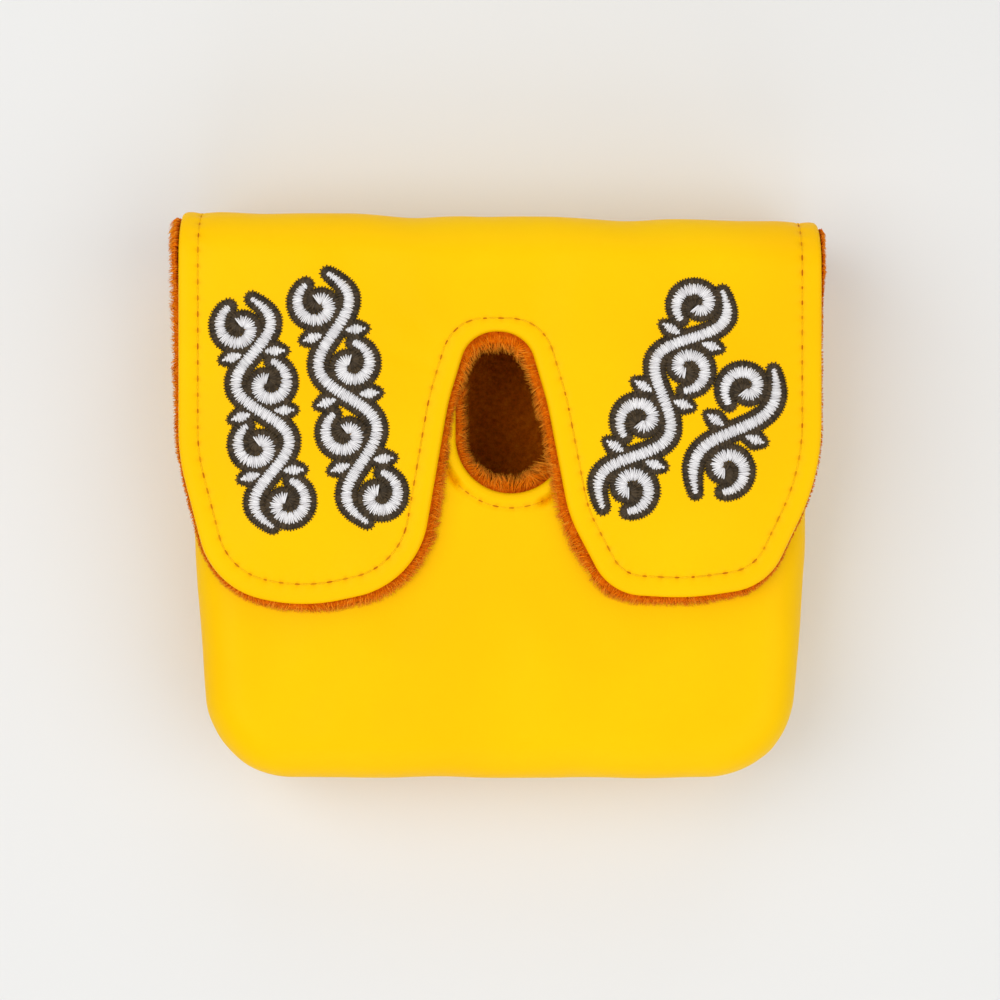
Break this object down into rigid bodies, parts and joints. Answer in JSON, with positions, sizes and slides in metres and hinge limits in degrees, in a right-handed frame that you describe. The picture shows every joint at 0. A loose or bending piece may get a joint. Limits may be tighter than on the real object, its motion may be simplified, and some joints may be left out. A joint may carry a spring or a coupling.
{
  "type": "putter head cover",
  "caption": "Padded mallet putter cover: an open pouch with a fold-over flap whose two rounded lobes close round an oval shaft hole.",
  "frame": {"origin": "under the middle of the cover, on the back panel's outer face, which it lies on", "axes": "+Z out of the front panel and the flap, +Y towards the fold, +X to the right seen from the front"},
  "size_m": [0.1462, 0.1286, 0.0419],
  "materials": {
    "yellow_leather": "smooth satin synthetic leather",
    "plush_lining": "short plush pile",
    "padding_foam": "open-cell foam",
    "stitch_thread": "twisted polyester thread",
    "embroidery_white": "satin stitch, silky",
    "embroidery_dark": "zig-zag stitch",
    "pocket_fabric": "non-woven felt",
    "magnet_steel": "nickel-plated disc"
  },
  "bodies": {
    "pouch": {"back_panel_leather": "yellow_leather", "back_panel_foam": "padding_foam", "back_panel_lining": "plush_lining", "gusset_leather": "yellow_leather", "gusset_foam": "padding_foam", "gusset_lining": "plush_lining", "front_panel_leather": "yellow_leather", "front_panel_foam": "padding_foam", "front_panel_lining": "plush_lining", "front_seam_thread": "stitch_thread", "back_seam_thread": "stitch_thread", "collar_stitching": "stitch_thread", "pouch_magnet_left": "magnet_steel", "pouch_magnet_pocket_left": "pocket_fabric", "pouch_magnet_right": "magnet_steel", "pouch_magnet_pocket_right": "pocket_fabric"},
    "spine": {"spine_leather": "yellow_leather", "spine_foam": "padding_foam", "spine_lining": "plush_lining", "spine_stitching": "stitch_thread"},
    "flap": {"flap_leather": "yellow_leather", "flap_foam": "padding_foam", "flap_lining": "plush_lining", "flap_stitching": "stitch_thread", "flap_magnet_left": "magnet_steel", "flap_magnet_pocket_left": "pocket_fabric", "flap_magnet_right": "magnet_steel", "flap_magnet_pocket_right": "pocket_fabric", "embroidery_fill_left": "embroidery_white", "embroidery_outline_left": "embroidery_dark", "embroidery_backing_left": "pocket_fabric", "embroidery_fill_right": "embroidery_white", "embroidery_outline_right": "embroidery_dark", "embroidery_backing_right": "pocket_fabric"}
  },
  "joints": [
    {"name": "spine_hinge", "type": "hinge", "parent": "pouch", "child": "spine", "pos_m": [0, 0.06139, 0.00276], "axis": [-1, 0, 0], "range_deg": [0, 90]},
    {"name": "flap_hinge", "type": "hinge", "parent": "spine", "child": "flap", "pos_m": [0, 0.06139, 0.03854], "axis": [-1, 0, 0], "range_deg": [0, 90]}
  ]
}
